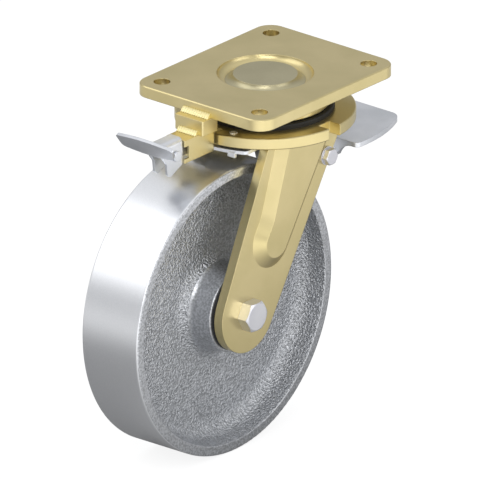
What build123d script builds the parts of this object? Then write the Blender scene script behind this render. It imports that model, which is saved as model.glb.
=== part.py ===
from build123d import *
import os
from math import acos, asin, atan2, cos, degrees, radians, sin, sqrt, tan

os.makedirs("parts", exist_ok=True)

# Heavy duty swivel castor, in mm. Z = 0 is the top face of the mounting plate and Z is the swivel
# axis. The wheel and the directional lock are on the -X side, the brake pedal is on the +X side.

# Overall sizes
wheel_diameter = 250
wheel_width = 60
wheel_top_gap = 16
castor_offset = 75

# Clearances
running_gap = 0.05
seat_gap = 0.05
side_gap = 0.3

# Mounting plate
plate_length = 175
plate_width = 140
plate_thickness = 10
plate_corner = 15
hole_spacing_x = 140
hole_spacing_y = 105
hole_diameter = 14
boss_radius = 54
boss_height = 14
plate_edge_chamfer = 0.8
groove_inner_radius = 26.7
groove_outer_radius = 40.3
groove_depth = 6

# King pin
kingpin_radius = 15
kingpin_thread_radius = 12
kingpin_sunk = 0.5
kingpin_end_chamfer = 1.5
kingpin_shoulder_gap = 0.5

# Swivel head, the ring that the fork legs are welded to
head_radius = 75
head_thickness = 10
head_drop = 5
head_edge_chamfer = 0.8
notch_width = 14
notch_depth = 12
notch_count = 4
collar_radius = 35.5
collar_rise = 4
cup_seat_radius = 30
cup_shoulder_radius = 27
cup_shoulder_thickness = 2

# Thrust ball bearing between plate and head
thrust_race_inner_radius = 36.2
thrust_race_outer_radius = 52.9
thrust_race_thickness = 5
thrust_race_gap = 5.5
thrust_ball_radius = 4
thrust_ball_pitch_radius = 44.5
thrust_ball_count = 20
thrust_cage_thickness = 2
thrust_cage_half_width = 5
groove_clearance = 0.08

# Rubber seal round the thrust bearing
seal_inner_radius = 53.6
seal_outer_radius = 57.5
seal_lip_radius = 1.5

# Tapered roller bearing under the head
roller_count = 16
roller_radius = 2.3
roller_length = 9.6
roller_tilt = 13
roller_pitch_radius = 22.5
cone_rise_above_cup = 1
cone_drop_below_cup = 2
cone_small_rib_width = 1.8
cone_large_rib_width = 2.6
cone_small_rib_radius = 20
cone_large_rib_radius = 22.6
roller_cage_thickness = 1.0
roller_cage_overhang = 1
roller_cage_shift = 0.5

# Toothed disc, tab washer and slotted nut on the king pin
disc_radius = 22
disc_thickness = 4.5
disc_gap_count = 20
disc_gap_width = 3.6
disc_gap_depth = 4.5
tab_washer_radius = 20
tab_washer_thickness = 1.5
tab_width = 4.4
nut_radius = 20
nut_height = 9
nut_slot_width = 5
nut_slot_depth = 3
kingpin_overhang = 2
kingpin_nut_chamfer = 1

# Fork legs, pressed plate with an embossed panel
leg_gap = 72
leg_thickness = 8.5
leg_rear_top_x = -47.6
leg_front_top_x = 50.1
leg_end_radius = 33.4
panel_rise = 6.7
panel_taper = 56
panel_rear_top_x = -38.2
panel_front_top_x = 36.7
panel_knee_x = -59
panel_knee_drop = 62.4
panel_knee_fillet = 40
panel_end_x = -45.5
panel_end_drop = 84.4
panel_end_radius = 23.5
panel_over = 15
weld_size = 4

# Axle
axle_radius = 8
axle_head_flats = 24
axle_head_height = 10.3
axle_nut_height = 13
axle_washer_radius = 15
axle_washer_thickness = 3
axle_overhang = 3
head_face_share = 0.95
head_chamfer_angle = 60
sleeve_radius = 12.5
sleeve_bore_gap = 0.2
bolt_chamfer = 1

# Wheel casting
rim_inner_radius = 116
rim_draft = 2
web_thickness = 13
hub_radius = 35.5
hub_draft = 2
hub_length = 66
web_fillet = 13
tread_edge_fillet = 2
casting_edge_fillet = 1.2

# Wheel bearings
bearing_radius = 26
bearing_width = 15
bearing_inset = 1
bearing_shoulder_radius = 22
inner_ring_radius = 15.6
outer_ring_bore_radius = 22.9
wheel_ball_radius = 3.95
wheel_ball_count = 9
wheel_cage_thickness = 2.2
wheel_cage_width = 10.4
bearing_seal_thickness = 1
bearing_seal_inset = 0.4
dust_cap_thickness = 2.4
dust_cap_bore_gap = 0.8
dust_cap_edge = 2

# Brake pedal and shoe
pedal_pivot_x = 25.2
pedal_pivot_drop = 30.8
pedal_sheet = 4
pedal_arm_outer_y = 32
pedal_blade_rise = 5.8
pedal_root_x = 50
pedal_neck_x = 44
pedal_tip_x = 122
pedal_root_half_width = 57
pedal_tip_half_width = 41.5
pedal_corner_radius = 12
pedal_side_bulge = 5.6
pedal_flange_drop = 15
pedal_flange_mid_y = 10
pedal_flange_mid_drop = 7
pedal_boss_radius = 9
pedal_finger_radius = 3.4
pedal_finger_gap = 0.3
shoe_nose_radius = 5
shoe_nose_x = 2
shoe_gap = 5

# Brake pivot bolt
pivot_radius = 4
pivot_head_flats = 13
pivot_head_height = 5.3
pivot_nut_height = 6.8
pivot_washer_radius = 8
pivot_washer_thickness = 1.6
pivot_overhang = 2
pivot_spot_face_gap = 0.4
shim_radius = 8

# Swivel lock plate, slid by the pedal so that its tooth enters the disc
lock_plate_thickness = 3
lock_plate_drop = 2.3
lock_plate_side_gap = 1.4
lock_plate_rear_gap = 1
lock_plate_front_x = 37
lock_plate_corner = 4
lock_plate_travel = 7
lock_plate_hole_gap = 1
lock_tooth_width = 2.6
lock_tooth_length = 5
lock_tooth_root = 1
lock_tab_width = 7.5
lock_tab_drop = 3
lock_tab_y = 22.8
lock_tab_inset = 4.2
guide_width = 5
guide_height = 4
guide_rear_x = -40
guide_front_x = 12

# Directional lock
block_ledge = 10.8
block_seat = 9
block_half_width = 15
block_height = 13
block_chamfer = 0.8
housing_step = 16.7
housing_head_gap = 3
housing_half_width = 10
housing_height = 20
housing_slot_half_width = 8.3
housing_slot_length = 15
housing_slot_roof = 1.1
housing_slot_roof_deep = 4.5
housing_slot_roof_run = 7.5
housing_pin_slot_gap = 0.8
housing_bore_gap = 0.2
plate_bead_size = 4.4
plate_bead_length = 29
housing_bead_size = 4.2
housing_bead_length = 20
bead_bulge = 0.57
lock_nose_size = 12
lock_nose_head_gap = 1.8
lock_nose_slot_gap = 2.2
lock_nose_chamfer = 1
lock_tail_half_width = 5
lock_tail_height = 8
lock_pin_reach = 9
lock_pin_drop = 11
lock_pin_radius = 2.5
lock_pin_head_radius = 4.5
lock_pin_head_height = 2
lock_bolt_travel = 9.2

# Lock lever, folded sheet with a wide foot pad. Its points are measured from its pin.
lever_sheet = 2.5
lever_half_width = 8
lever_bend_radius = 4.5
lever_blank_depth = 51
lever_top = 14
lever_back = 8.2
lever_pad_half_width = 30.5
lever_pad_thickness = 2.75
lever_pad_low = (-25.4, 6.8)
lever_pad_top = (-33.6, 21.4)
lever_pad_bulge = 2.5
lever_pad_end_slant = 3
lever_pad_low_corner = 5
lever_pad_top_corner = 2
lever_pad_overlap = 2
lever_ear_low = -9.7
lever_tip = (-7.3, -16.8)
lever_heel = (-10.6, -14.1)
lever_waist = (-11.8, -4)
lever_shoulder = (-18, 4)
lever_waist_fillet = 5
lever_corner_fillet = 2

# Grease nipple on the head
nipple_edge_distance = 8.35
nipple_angle = 196.8
nipple_flats = 6
nipple_hex_height = 0.8
nipple_ball_radius = 2.2
nipple_ball_sunk = 1.4

# Levels and places worked out from the sizes above
wheel_radius = wheel_diameter / 2
boss_bottom_z = -plate_thickness - boss_height
head_top_z = boss_bottom_z - head_drop
head_bottom_z = head_top_z - head_thickness
axle_x = -castor_offset
axle_z = head_bottom_z - wheel_top_gap - wheel_radius
race_seat_top_z = head_top_z + thrust_race_gap + thrust_race_thickness
race_seat_bottom_z = head_top_z - thrust_race_thickness
thrust_ball_z = head_top_z + thrust_race_gap / 2
collar_top_z = head_top_z + collar_rise
cup_top_z = collar_top_z - cup_shoulder_thickness
cone_top_z = cup_top_z + cone_rise_above_cup
cone_bottom_z = head_bottom_z - cone_drop_below_cup
disc_bottom_z = cone_bottom_z - disc_thickness
washer_bottom_z = disc_bottom_z - tab_washer_thickness
nut_bottom_z = washer_bottom_z - nut_height
kingpin_end_z = nut_bottom_z - kingpin_overhang
leg_inner_y = leg_gap / 2
leg_outer_y = leg_inner_y + leg_thickness
panel_top_y = leg_outer_y + panel_rise
web_half = web_thickness / 2
half_width = wheel_width / 2
hub_half = hub_length / 2
bearing_outer_y = hub_half - bearing_inset
bearing_inner_y = bearing_outer_y - bearing_width
bearing_middle_y = (bearing_outer_y + bearing_inner_y) / 2
wheel_ball_pitch_radius = (inner_ring_radius + outer_ring_bore_radius) / 2
block_top_z = -plate_thickness
block_bottom_z = block_top_z - block_height
housing_bottom_z = block_bottom_z - housing_height
plate_rear_x = -plate_length / 2
block_front_x = plate_rear_x - block_ledge
block_rear_x = plate_rear_x + block_seat
housing_front_x = block_front_x - housing_step
housing_rear_x = -head_radius - housing_head_gap
housing_slot_rear_x = housing_front_x + housing_slot_length
lock_nose_tip_x = -head_radius - lock_nose_head_gap
lock_nose_length = lock_nose_tip_x - housing_slot_rear_x - lock_nose_slot_gap
lock_pin_x = housing_front_x - lock_pin_reach
lock_pin_z = block_bottom_z - lock_pin_drop
lock_plate_top_z = head_bottom_z - lock_plate_drop
lock_plate_bottom_z = lock_plate_top_z - lock_plate_thickness
lock_plate_half_width = leg_inner_y - lock_plate_side_gap
lock_plate_rear_radius = head_radius - lock_plate_rear_gap
pedal_pivot_z = head_bottom_z - pedal_pivot_drop
pedal_blade_z = pedal_pivot_z + pedal_blade_rise
pedal_finger_z = (lock_plate_top_z + lock_plate_bottom_z) / 2
pedal_arm_inner_y = pedal_arm_outer_y - pedal_sheet
pivot_seat_y = leg_outer_y + pivot_washer_thickness

swivel_section = Plane.XZ
axle_section = Plane(origin=(axle_x, 0, axle_z), x_dir=(1, 0, 0), z_dir=(0, 0, 1))
axle_axis = Axis((axle_x, 0, axle_z), (0, 1, 0))
bearing_planes = [
    Plane(origin=(axle_x, side * bearing_middle_y, axle_z), z_dir=(0, side, 0))
    for side in (-1, 1)
]


def section_box(inner, outer, low, high):
    """Draw, in the open sketch, the section between two radii and two heights."""
    with Locations(((inner + outer) / 2, (low + high) / 2)):
        Rectangle(outer - inner, high - low)


def tangent_point(point, centre, radius, side):
    """The point of a circle where the line from an outside point touches it, on one side."""
    dx = point[0] - centre[0]
    dy = point[1] - centre[1]
    turn = side * acos(radius / sqrt(dx**2 + dy**2))
    angle = atan2(dy, dx) + turn
    return (centre[0] + radius * cos(angle), centre[1] + radius * sin(angle))


# Mounting plate, forged in one piece with its round boss
groove_mid_radius = (groove_inner_radius + groove_outer_radius) / 2
groove_half_width = groove_outer_radius - groove_mid_radius
groove_round = (groove_half_width**2 + groove_depth**2) / (2 * groove_depth)

with BuildPart() as top_plate:
    with BuildSketch(Plane.XY.offset(-plate_thickness)):
        RectangleRounded(plate_length, plate_width, plate_corner)
    extrude(amount=plate_thickness)
    with BuildSketch(Plane.XY.offset(boss_bottom_z)):
        Circle(boss_radius)
    extrude(amount=boss_height)
    with BuildSketch(Plane.XY):
        with GridLocations(hole_spacing_x, hole_spacing_y, 2, 2):
            Circle(hole_diameter / 2)
    extrude(amount=-plate_thickness, mode=Mode.SUBTRACT)
    with BuildSketch(swivel_section):
        section_box(0, groove_mid_radius + seat_gap, -plate_thickness, 1)
        section_box(0, kingpin_radius + seat_gap, boss_bottom_z, 0)
        section_box(
            thrust_race_inner_radius - 2 * seat_gap,
            thrust_race_outer_radius + 2 * seat_gap,
            boss_bottom_z,
            race_seat_top_z,
        )
        with Locations((groove_mid_radius, groove_round - groove_depth)):
            Circle(groove_round)
    revolve(axis=Axis.Z, mode=Mode.SUBTRACT)
    chamfer(top_plate.faces().sort_by(Axis.Z)[-1].outer_wire().edges(), plate_edge_chamfer)
    chamfer(
        top_plate.faces().filter_by(GeomType.CYLINDER).edges().filter_by(GeomType.CIRCLE)
        .filter_by(lambda e: abs(e.radius - boss_radius) < 0.01).group_by(Axis.Z)[0],
        plate_edge_chamfer,
    )
top_plate.part.label = "top_plate"
export_step(top_plate.part, "parts/top_plate.step")

# King pin, pressed and welded into the plate, with a flat head that ends in the groove
with BuildPart() as kingpin:
    with BuildSketch(swivel_section):
        section_box(0, groove_mid_radius, -plate_thickness, -kingpin_sunk)
        section_box(
            0, kingpin_radius, cone_bottom_z + kingpin_shoulder_gap, -plate_thickness
        )
        section_box(
            0, kingpin_thread_radius, kingpin_end_z, cone_bottom_z + kingpin_shoulder_gap
        )
        with Locations((groove_mid_radius, groove_round - groove_depth)):
            Circle(groove_round, mode=Mode.SUBTRACT)
    revolve(axis=Axis.Z)
    chamfer(kingpin.edges().filter_by(GeomType.CIRCLE).sort_by(Axis.Z)[0], kingpin_end_chamfer)
kingpin.part.label = "kingpin"
export_step(kingpin.part, "parts/kingpin.step")

# Thrust bearing: two grooved races, balls and a flat cage
with BuildPart() as thrust_race_upper:
    with BuildSketch(swivel_section):
        section_box(
            thrust_race_inner_radius,
            thrust_race_outer_radius,
            race_seat_top_z - thrust_race_thickness,
            race_seat_top_z,
        )
        with Locations((thrust_ball_pitch_radius, thrust_ball_z)):
            Circle(thrust_ball_radius + groove_clearance, mode=Mode.SUBTRACT)
    revolve(axis=Axis.Z)
thrust_race_upper.part.label = "thrust_race_upper"
export_step(thrust_race_upper.part, "parts/thrust_race_upper.step")

with BuildPart() as thrust_race_lower:
    with BuildSketch(swivel_section):
        section_box(
            thrust_race_inner_radius,
            thrust_race_outer_radius,
            race_seat_bottom_z,
            head_top_z,
        )
        with Locations((thrust_ball_pitch_radius, thrust_ball_z)):
            Circle(thrust_ball_radius + groove_clearance, mode=Mode.SUBTRACT)
    revolve(axis=Axis.Z)
thrust_race_lower.part.label = "thrust_race_lower"
export_step(thrust_race_lower.part, "parts/thrust_race_lower.step")

with BuildPart() as thrust_balls:
    with Locations((0, 0, thrust_ball_z)):
        with PolarLocations(thrust_ball_pitch_radius, thrust_ball_count):
            Sphere(thrust_ball_radius)
thrust_balls.part.label = "thrust_balls"
export_step(thrust_balls.part, "parts/thrust_balls.step")

with BuildPart() as thrust_ball_cage:
    with BuildSketch(Plane.XY.offset(thrust_ball_z - thrust_cage_thickness / 2)):
        Circle(thrust_ball_pitch_radius + thrust_cage_half_width)
        Circle(thrust_ball_pitch_radius - thrust_cage_half_width, mode=Mode.SUBTRACT)
        with PolarLocations(thrust_ball_pitch_radius, thrust_ball_count):
            Circle(thrust_ball_radius + running_gap, mode=Mode.SUBTRACT)
    extrude(amount=thrust_cage_thickness)
thrust_ball_cage.part.label = "thrust_ball_cage"
export_step(thrust_ball_cage.part, "parts/thrust_ball_cage.step")

# Swivel head: a round plate with four lock notches, a race seat and a bearing collar
with BuildPart() as swivel_head:
    with BuildSketch(swivel_section):
        section_box(cup_shoulder_radius, head_radius, head_bottom_z, head_top_z)
        section_box(cup_shoulder_radius, collar_radius, head_bottom_z, collar_top_z)
        section_box(
            collar_radius,
            thrust_race_outer_radius + 2 * seat_gap,
            race_seat_bottom_z,
            collar_top_z,
        )
    revolve(axis=Axis.Z)
    with BuildSketch(swivel_section):
        section_box(
            collar_radius,
            thrust_race_outer_radius + 2 * seat_gap,
            race_seat_bottom_z,
            collar_top_z + 1,
        )
        section_box(0, cup_seat_radius, head_bottom_z, cup_top_z)
    revolve(axis=Axis.Z, mode=Mode.SUBTRACT)
    with BuildSketch(Plane.XY.offset(head_bottom_z)):
        with PolarLocations(head_radius, notch_count):
            Rectangle(2 * notch_depth, notch_width)
    extrude(amount=head_thickness, mode=Mode.SUBTRACT)
    chamfer(
        swivel_head.edges().filter_by(GeomType.CIRCLE)
        .filter_by(lambda e: abs(e.radius - head_radius) < 0.01),
        head_edge_chamfer,
    )
swivel_head.part.label = "swivel_head"
export_step(swivel_head.part, "parts/swivel_head.step")

# Rubber seal on the head, just under the boss
with BuildPart() as swivel_seal:
    with BuildSketch(swivel_section):
        section_box(
            seal_inner_radius, seal_outer_radius, head_top_z, boss_bottom_z - side_gap
        )
    revolve(axis=Axis.Z)
    fillet(
        swivel_seal.edges().filter_by(GeomType.CIRCLE).sort_by(SortBy.RADIUS).group_by(
            SortBy.RADIUS
        )[-1].sort_by(Axis.Z)[-1],
        seal_lip_radius,
    )
swivel_seal.part.label = "swivel_seal"
export_step(swivel_seal.part, "parts/swivel_seal.step")

# Tapered roller bearing. Its cup, cone and rollers share one apex on the swivel axis.
roller_mid_z = (cup_top_z + head_bottom_z) / 2
apex_z = roller_mid_z + roller_pitch_radius / tan(radians(roller_tilt))
apex_distance = roller_pitch_radius / sin(radians(roller_tilt))
roller_half_angle = degrees(asin(roller_radius / apex_distance))


def raceway_radius(z, angle):
    """The radius at a height of a cone about the swivel axis with its tip at the apex."""
    return (apex_z - z) * tan(radians(angle))


cup_angle = roller_tilt + roller_half_angle
cone_angle = roller_tilt - roller_half_angle
cone_race_top_z = cone_top_z - cone_small_rib_width
cone_race_bottom_z = cone_bottom_z + cone_large_rib_width

with BuildPart() as taper_bearing_cup:
    with BuildSketch(swivel_section):
        with BuildLine():
            Polyline(
                (raceway_radius(cup_top_z, cup_angle) + running_gap, cup_top_z),
                (cup_seat_radius - seat_gap, cup_top_z),
                (cup_seat_radius - seat_gap, head_bottom_z),
                (raceway_radius(head_bottom_z, cup_angle) + running_gap, head_bottom_z),
                close=True,
            )
        make_face()
    revolve(axis=Axis.Z)
taper_bearing_cup.part.label = "taper_bearing_cup"
export_step(taper_bearing_cup.part, "parts/taper_bearing_cup.step")

with BuildPart() as taper_bearing_cone:
    with BuildSketch(swivel_section):
        with BuildLine():
            Polyline(
                (kingpin_radius + seat_gap, cone_top_z),
                (cone_small_rib_radius, cone_top_z),
                (cone_small_rib_radius, cone_race_top_z),
                (
                    raceway_radius(cone_race_top_z, cone_angle) - running_gap,
                    cone_race_top_z,
                ),
                (
                    raceway_radius(cone_race_bottom_z, cone_angle) - running_gap,
                    cone_race_bottom_z,
                ),
                (cone_large_rib_radius, cone_race_bottom_z),
                (cone_large_rib_radius, cone_bottom_z),
                (kingpin_radius + seat_gap, cone_bottom_z),
                close=True,
            )
        make_face()
    revolve(axis=Axis.Z)
taper_bearing_cone.part.label = "taper_bearing_cone"
export_step(taper_bearing_cone.part, "parts/taper_bearing_cone.step")

roller_small_radius = (apex_distance - roller_length / 2) * tan(radians(roller_half_angle))
roller_large_radius = (apex_distance + roller_length / 2) * tan(radians(roller_half_angle))
roller_plane = Plane(
    origin=(roller_pitch_radius, 0, roller_mid_z),
    x_dir=(0, 1, 0),
    z_dir=(-sin(radians(roller_tilt)), 0, cos(radians(roller_tilt))),
)

with BuildPart() as taper_rollers:
    with PolarLocations(0, roller_count):
        with Locations(roller_plane):
            Cone(roller_large_radius, roller_small_radius, roller_length)
taper_rollers.part.label = "taper_rollers"
export_step(taper_rollers.part, "parts/taper_rollers.step")

cage_reach = roller_length / 2 + roller_cage_overhang
cage_low = roller_plane.origin - roller_plane.z_dir * cage_reach
cage_high = roller_plane.origin + roller_plane.z_dir * cage_reach
cage_outer_shift = roller_cage_shift + roller_cage_thickness
with BuildPart() as taper_roller_cage:
    with BuildSketch(swivel_section):
        with BuildLine():
            Polyline(
                (cage_low.X + roller_cage_shift, cage_low.Z),
                (cage_low.X + cage_outer_shift, cage_low.Z),
                (cage_high.X + cage_outer_shift, cage_high.Z),
                (cage_high.X + roller_cage_shift, cage_high.Z),
                close=True,
            )
        make_face()
    revolve(axis=Axis.Z)
    with PolarLocations(0, roller_count):
        with Locations(roller_plane):
            Cone(
                roller_large_radius + running_gap,
                roller_small_radius + running_gap,
                roller_length + 4 * running_gap,
                mode=Mode.SUBTRACT,
            )
taper_roller_cage.part.label = "taper_roller_cage"
export_step(taper_roller_cage.part, "parts/taper_roller_cage.step")

# Toothed disc, clamped on the king pin under the bearing, for the swivel lock
with BuildPart() as swivel_lock_disc:
    with BuildSketch(Plane.XY.offset(disc_bottom_z)):
        Circle(disc_radius)
        Circle(kingpin_thread_radius + seat_gap, mode=Mode.SUBTRACT)
        with PolarLocations(disc_radius, disc_gap_count):
            Rectangle(2 * disc_gap_depth, disc_gap_width, mode=Mode.SUBTRACT)
    extrude(amount=disc_thickness)
swivel_lock_disc.part.label = "swivel_lock_disc"
export_step(swivel_lock_disc.part, "parts/swivel_lock_disc.step")

with BuildPart() as tab_washer:
    with BuildSketch(Plane.XY.offset(washer_bottom_z)):
        Circle(tab_washer_radius)
        with Locations((0, nut_radius)):
            Rectangle(tab_width, 2 * tab_washer_thickness + 2 * side_gap)
        Circle(kingpin_thread_radius + seat_gap, mode=Mode.SUBTRACT)
    extrude(amount=tab_washer_thickness)
    with BuildSketch(Plane.XY.offset(washer_bottom_z - nut_height / 2)):
        with Locations((0, nut_radius + side_gap + tab_washer_thickness / 2)):
            Rectangle(tab_width, tab_washer_thickness)
    extrude(amount=nut_height / 2 + tab_washer_thickness)
tab_washer.part.label = "tab_washer"
export_step(tab_washer.part, "parts/tab_washer.step")

with BuildPart() as kingpin_nut:
    with BuildSketch(Plane.XY.offset(nut_bottom_z)):
        Circle(nut_radius)
        Circle(kingpin_thread_radius + seat_gap, mode=Mode.SUBTRACT)
        with PolarLocations(nut_radius, 4):
            Rectangle(2 * nut_slot_depth, nut_slot_width, mode=Mode.SUBTRACT)
    extrude(amount=nut_height)
    chamfer(
        kingpin_nut.faces().sort_by(Axis.Z)[0].outer_wire().edges().filter_by(GeomType.CIRCLE),
        kingpin_nut_chamfer,
    )
kingpin_nut.part.label = "kingpin_nut"
export_step(kingpin_nut.part, "parts/kingpin_nut.step")

# Flush grease nipple on the head's top face: a low hexagon with a dome
nipple_x = (head_radius - nipple_edge_distance) * cos(radians(nipple_angle))
nipple_y = (head_radius - nipple_edge_distance) * sin(radians(nipple_angle))
with BuildPart() as grease_nipple:
    with BuildSketch(Plane((nipple_x, nipple_y, head_top_z))):
        RegularPolygon(nipple_flats / 2, 6, major_radius=False)
    extrude(amount=nipple_hex_height)
    with Locations((nipple_x, nipple_y, head_top_z + nipple_hex_height - nipple_ball_sunk)):
        Sphere(nipple_ball_radius)
    split(bisect_by=Plane.XY.offset(head_top_z), keep=Keep.TOP)
grease_nipple.part.label = "grease_nipple"
export_step(grease_nipple.part, "parts/grease_nipple.step")

# Fork leg: its outline is the hull of the top edge and the round end about the axle. The outer
# face carries a raised tongue-shaped panel, pressed out of the plate from the inside.
panel_end = (panel_end_x, head_bottom_z - panel_end_drop)
panel_knee = (panel_knee_x, head_bottom_z - panel_knee_drop)
panel_front_tangent = tangent_point(
    (panel_front_top_x, head_bottom_z), panel_end, panel_end_radius, -1
)
panel_rear_tangent = tangent_point(panel_knee, panel_end, panel_end_radius, 1)
panel_rear_slope = (panel_rear_top_x - panel_knee_x) / panel_knee_drop
panel_front_slope = (panel_front_top_x - panel_front_tangent[0]) / (
    head_bottom_z - panel_front_tangent[1]
)


panel_wall_inset = leg_thickness * tan(radians(panel_taper / 2))

with BuildSketch() as panel_foot:
    with BuildLine():
        Polyline(
            panel_front_tangent,
            (panel_front_top_x + panel_over * panel_front_slope, head_bottom_z + panel_over),
            (panel_rear_top_x + panel_over * panel_rear_slope, head_bottom_z + panel_over),
            panel_knee,
            panel_rear_tangent,
        )
        ThreePointArc(
            panel_rear_tangent,
            (panel_end[0], panel_end[1] - panel_end_radius),
            panel_front_tangent,
        )
    make_face()
    fillet(vertices().sort_by_distance(panel_knee)[0], panel_knee_fillet)

with BuildSketch() as panel_recess:
    offset(panel_foot.sketch, amount=-panel_wall_inset)

with BuildPart() as fork_leg_left:
    with BuildSketch(Plane.XZ.offset(leg_inner_y)):
        with BuildLine():
            Line((leg_rear_top_x, head_bottom_z), (leg_front_top_x, head_bottom_z))
            CenterArc((axle_x, axle_z), leg_end_radius, 0, 360)
        make_hull()
    extrude(amount=leg_thickness)
    with BuildSketch(Plane.XZ.offset(leg_outer_y)):
        add(panel_foot.sketch)
    extrude(amount=panel_rise, taper=panel_taper)
    with BuildSketch(Plane.XZ.offset(leg_inner_y)):
        add(panel_recess.sketch)
    extrude(amount=panel_rise, taper=panel_taper, mode=Mode.SUBTRACT)
    split(bisect_by=Plane.XY.offset(head_bottom_z), keep=Keep.BOTTOM)
    with BuildSketch(Plane.XZ.offset(leg_inner_y)):
        with Locations((axle_x, axle_z)):
            Circle(axle_radius + sleeve_bore_gap)
        with Locations((pedal_pivot_x, pedal_pivot_z)):
            Circle(pivot_radius + sleeve_bore_gap)
    extrude(amount=leg_thickness, mode=Mode.SUBTRACT)
    with BuildSketch(Plane.XZ.offset(leg_outer_y)):
        with Locations((pedal_pivot_x, pedal_pivot_z)):
            Circle(pivot_washer_radius + pivot_spot_face_gap)
    extrude(amount=panel_rise, mode=Mode.SUBTRACT)
fork_leg_left.part.label = "fork_leg_left"
export_step(fork_leg_left.part, "parts/fork_leg_left.step")

with BuildPart() as fork_leg_right:
    mirror(fork_leg_left.part, about=Plane.XZ)
fork_leg_right.part.label = "fork_leg_right"
export_step(fork_leg_right.part, "parts/fork_leg_right.step")

# Fillet welds round the top of each leg, under the head. The outline is the leg's top section,
# one weld size larger, drawn with X along the leg and Y outwards.
panel_ramp = panel_rise * tan(radians(panel_taper))
under_head = Plane(origin=(0, 0, head_bottom_z), x_dir=(1, 0, 0), z_dir=(0, 0, -1))

with BuildPart() as leg_welds:
    with BuildSketch(under_head):
        with BuildLine():
            Polyline(
                (leg_rear_top_x - weld_size, leg_inner_y),
                (leg_rear_top_x - weld_size, leg_outer_y + weld_size),
                (panel_rear_top_x - weld_size / 2, leg_outer_y + weld_size),
                (panel_rear_top_x + panel_ramp - weld_size / 2, panel_top_y + weld_size),
                (panel_front_top_x - panel_ramp + weld_size / 2, panel_top_y + weld_size),
                (panel_front_top_x + weld_size / 2, leg_outer_y + weld_size),
                (leg_front_top_x + weld_size, leg_outer_y + weld_size),
                (leg_front_top_x + weld_size, leg_inner_y),
                close=True,
            )
        make_face()
    extrude(amount=weld_size, taper=45)
    add(fork_leg_left.part, mode=Mode.SUBTRACT)
    mirror(leg_welds.part, about=Plane.XZ)
leg_welds.part.label = "leg_welds"
export_step(leg_welds.part, "parts/leg_welds.step")

# Guide strips on the inner leg faces that carry the sliding lock plate
with BuildPart() as lock_plate_guides:
    with BuildSketch(Plane.XY.offset(lock_plate_bottom_z - 2 * running_gap - guide_height)):
        with Locations(((guide_rear_x + guide_front_x) / 2, leg_inner_y - guide_width / 2)):
            Rectangle(guide_front_x - guide_rear_x, guide_width)
        mirror(about=Plane.XZ)
    extrude(amount=guide_height)
lock_plate_guides.part.label = "lock_plate_guides"
export_step(lock_plate_guides.part, "parts/lock_plate_guides.step")

# Axle bolt with its head on the left leg, nut and washer on the right leg
with BuildPart() as axle_bolt:
    with BuildSketch(Plane((axle_x, -leg_outer_y, axle_z), z_dir=(0, -1, 0))):
        RegularPolygon(axle_head_flats / 2, 6, major_radius=False, rotation=30)
    extrude(amount=axle_head_height)
    with BuildSketch(
        Plane((axle_x, -leg_outer_y - axle_head_height, axle_z), z_dir=(0, -1, 0))
    ):
        Circle(head_face_share * axle_head_flats / 2)
    extrude(amount=-axle_head_height, taper=-head_chamfer_angle, mode=Mode.INTERSECT)
    with BuildSketch(Plane((axle_x, -leg_outer_y, axle_z), z_dir=(0, 1, 0))):
        Circle(axle_radius)
    extrude(
        amount=2 * leg_outer_y + axle_washer_thickness + axle_nut_height + axle_overhang
    )
    chamfer(axle_bolt.edges().filter_by(GeomType.CIRCLE).sort_by(Axis.Y)[-1], bolt_chamfer)
axle_bolt.part.label = "axle_bolt"
export_step(axle_bolt.part, "parts/axle_bolt.step")

with BuildPart() as axle_washer:
    with BuildSketch(Plane((axle_x, leg_outer_y, axle_z), z_dir=(0, 1, 0))):
        Circle(axle_washer_radius)
        Circle(axle_radius + sleeve_bore_gap, mode=Mode.SUBTRACT)
    extrude(amount=axle_washer_thickness)
axle_washer.part.label = "axle_washer"
export_step(axle_washer.part, "parts/axle_washer.step")

with BuildPart() as axle_nut:
    with BuildSketch(
        Plane((axle_x, leg_outer_y + axle_washer_thickness, axle_z), z_dir=(0, 1, 0))
    ):
        RegularPolygon(axle_head_flats / 2, 6, major_radius=False, rotation=30)
        Circle(axle_radius + seat_gap, mode=Mode.SUBTRACT)
    extrude(amount=axle_nut_height)
    with BuildSketch(
        Plane(
            (axle_x, leg_outer_y + axle_washer_thickness + axle_nut_height, axle_z),
            z_dir=(0, 1, 0),
        )
    ):
        Circle(head_face_share * axle_head_flats / 2)
    extrude(amount=-axle_nut_height, taper=-head_chamfer_angle, mode=Mode.INTERSECT)
axle_nut.part.label = "axle_nut"
export_step(axle_nut.part, "parts/axle_nut.step")

with BuildPart() as axle_sleeve:
    with BuildSketch(Plane((axle_x, -leg_inner_y, axle_z), z_dir=(0, 1, 0))):
        Circle(sleeve_radius)
        Circle(axle_radius + sleeve_bore_gap, mode=Mode.SUBTRACT)
    extrude(amount=leg_gap)
axle_sleeve.part.label = "axle_sleeve"
export_step(axle_sleeve.part, "parts/axle_sleeve.step")

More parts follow.
